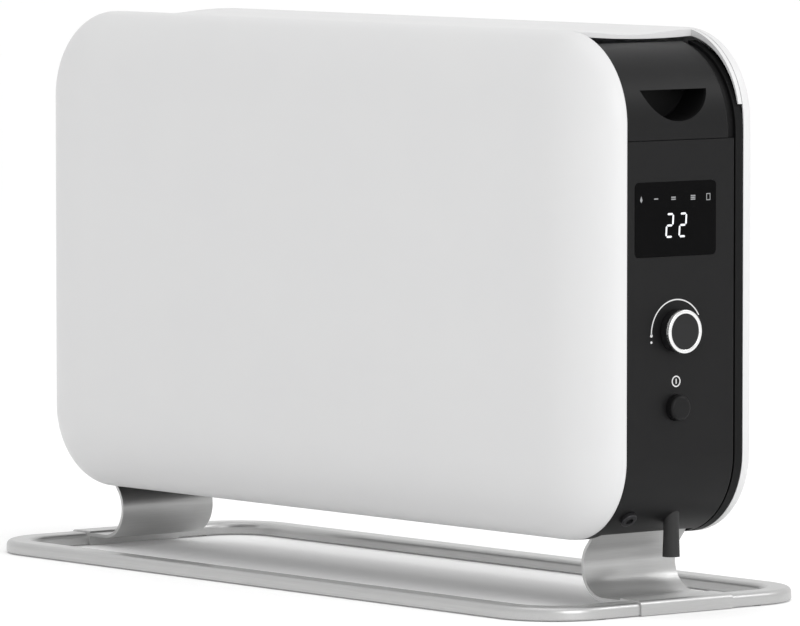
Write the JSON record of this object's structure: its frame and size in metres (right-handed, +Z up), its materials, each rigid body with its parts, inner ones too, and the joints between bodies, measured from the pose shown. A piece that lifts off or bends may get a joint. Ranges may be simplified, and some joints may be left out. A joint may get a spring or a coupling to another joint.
{
  "type": "fan convector heater",
  "caption": "Low rounded white panel heater on a ring stand with bent metal legs, black end caps with finger recesses, and a dial, push button and display on one end.",
  "frame": {"origin": "middle of the stand's outline, on the floor under the rubber feet", "axes": "+X along the width towards the end with the controls, -Y out of the front panel, +Z up"},
  "size_m": [0.7172, 0.274, 0.436],
  "materials": {
    "white_steel": "semi-matt white powder coat",
    "black_plastic": "fine satin texture",
    "groove_plastic": "matt",
    "smoked_glass": "polished",
    "bright_trim": "turned and lacquered",
    "knob_plastic": "semi-gloss",
    "brushed_alloy": "satin anodised",
    "rubber": "matt",
    "galvanised": "zinc coated",
    "dark_screw": "black oxide",
    "bright_screw": "zinc plated",
    "element_steel": "heat tinted",
    "board": "lacquered circuit board",
    "component": "moulded",
    "cream_plastic": "heat resistant moulding"
  },
  "bodies": {
    "heater": {"front_panel": "white_steel", "panel_brackets": "galvanised", "chassis_frame": "galvanised", "rear_baffle": "galvanised", "top_hood": "white_steel", "outlet_grille": "black_plastic", "rear_cover": "white_steel", "rear_screws": "bright_screw", "bottom_grille": "black_plastic", "right_end_frame": "groove_plastic", "left_end_frame": "groove_plastic", "right_handle_panel": "black_plastic", "left_handle_panel": "black_plastic", "right_handle_cup": "groove_plastic", "left_handle_cup": "groove_plastic", "left_fascia": "black_plastic", "control_fascia": "black_plastic", "cap_screws": "dark_screw", "display_window": "smoked_glass", "display_board": "board", "encoder_body": "component", "power_switch_body": "component", "base_frame": "brushed_alloy", "rubber_feet": "rubber", "right_leg": "brushed_alloy", "left_leg": "brushed_alloy", "leg_screws": "bright_screw", "leg_nuts": "bright_screw", "cord_gland": "rubber", "cord_clamp": "cream_plastic", "terminal_block": "cream_plastic", "fan_bearing": "rubber", "fan_motor": "galvanised", "fan_housing": "galvanised", "heating_lower_element": "element_steel", "heating_upper_element": "element_steel", "element_bracket_right": "galvanised", "element_bracket_left": "galvanised", "thermal_cutout": "cream_plastic", "power_board": "board", "relays": "component", "mains_filter": "component", "tilt_switch_body": "cream_plastic", "room_sensor": "cream_plastic"},
    "dial": {"dial_knob": "knob_plastic", "dial_ring": "bright_trim", "dial_shaft": "bright_screw"},
    "push_button": {"power_button": "black_plastic"},
    "fan_wheel": {"fan_rotor": "galvanised", "fan_shaft": "bright_screw"},
    "tilt_weight": {"tilt_pendulum": "bright_screw"}
  },
  "joints": [
    {"name": "dial_turn", "type": "hinge", "parent": "heater", "child": "dial", "pos_m": [0.356, -0.0045, 0.212], "axis": [1, 0, 0], "continuous": true},
    {"name": "button_press", "type": "slide", "parent": "heater", "child": "push_button", "axis": [-1, 0, 0], "range_m": [0, 0.003], "stiffness_N_per_m": 500},
    {"name": "fan_spin", "type": "hinge", "parent": "heater", "child": "fan_wheel", "pos_m": [0, 0.006, 0.118], "axis": [1, 0, 0], "continuous": true},
    {"name": "tilt_swing", "type": "hinge", "parent": "heater", "child": "tilt_weight", "pos_m": [0.298, -0.036, 0.137], "axis": [1, 0, 0], "range_deg": [-25, 25]}
  ]
}
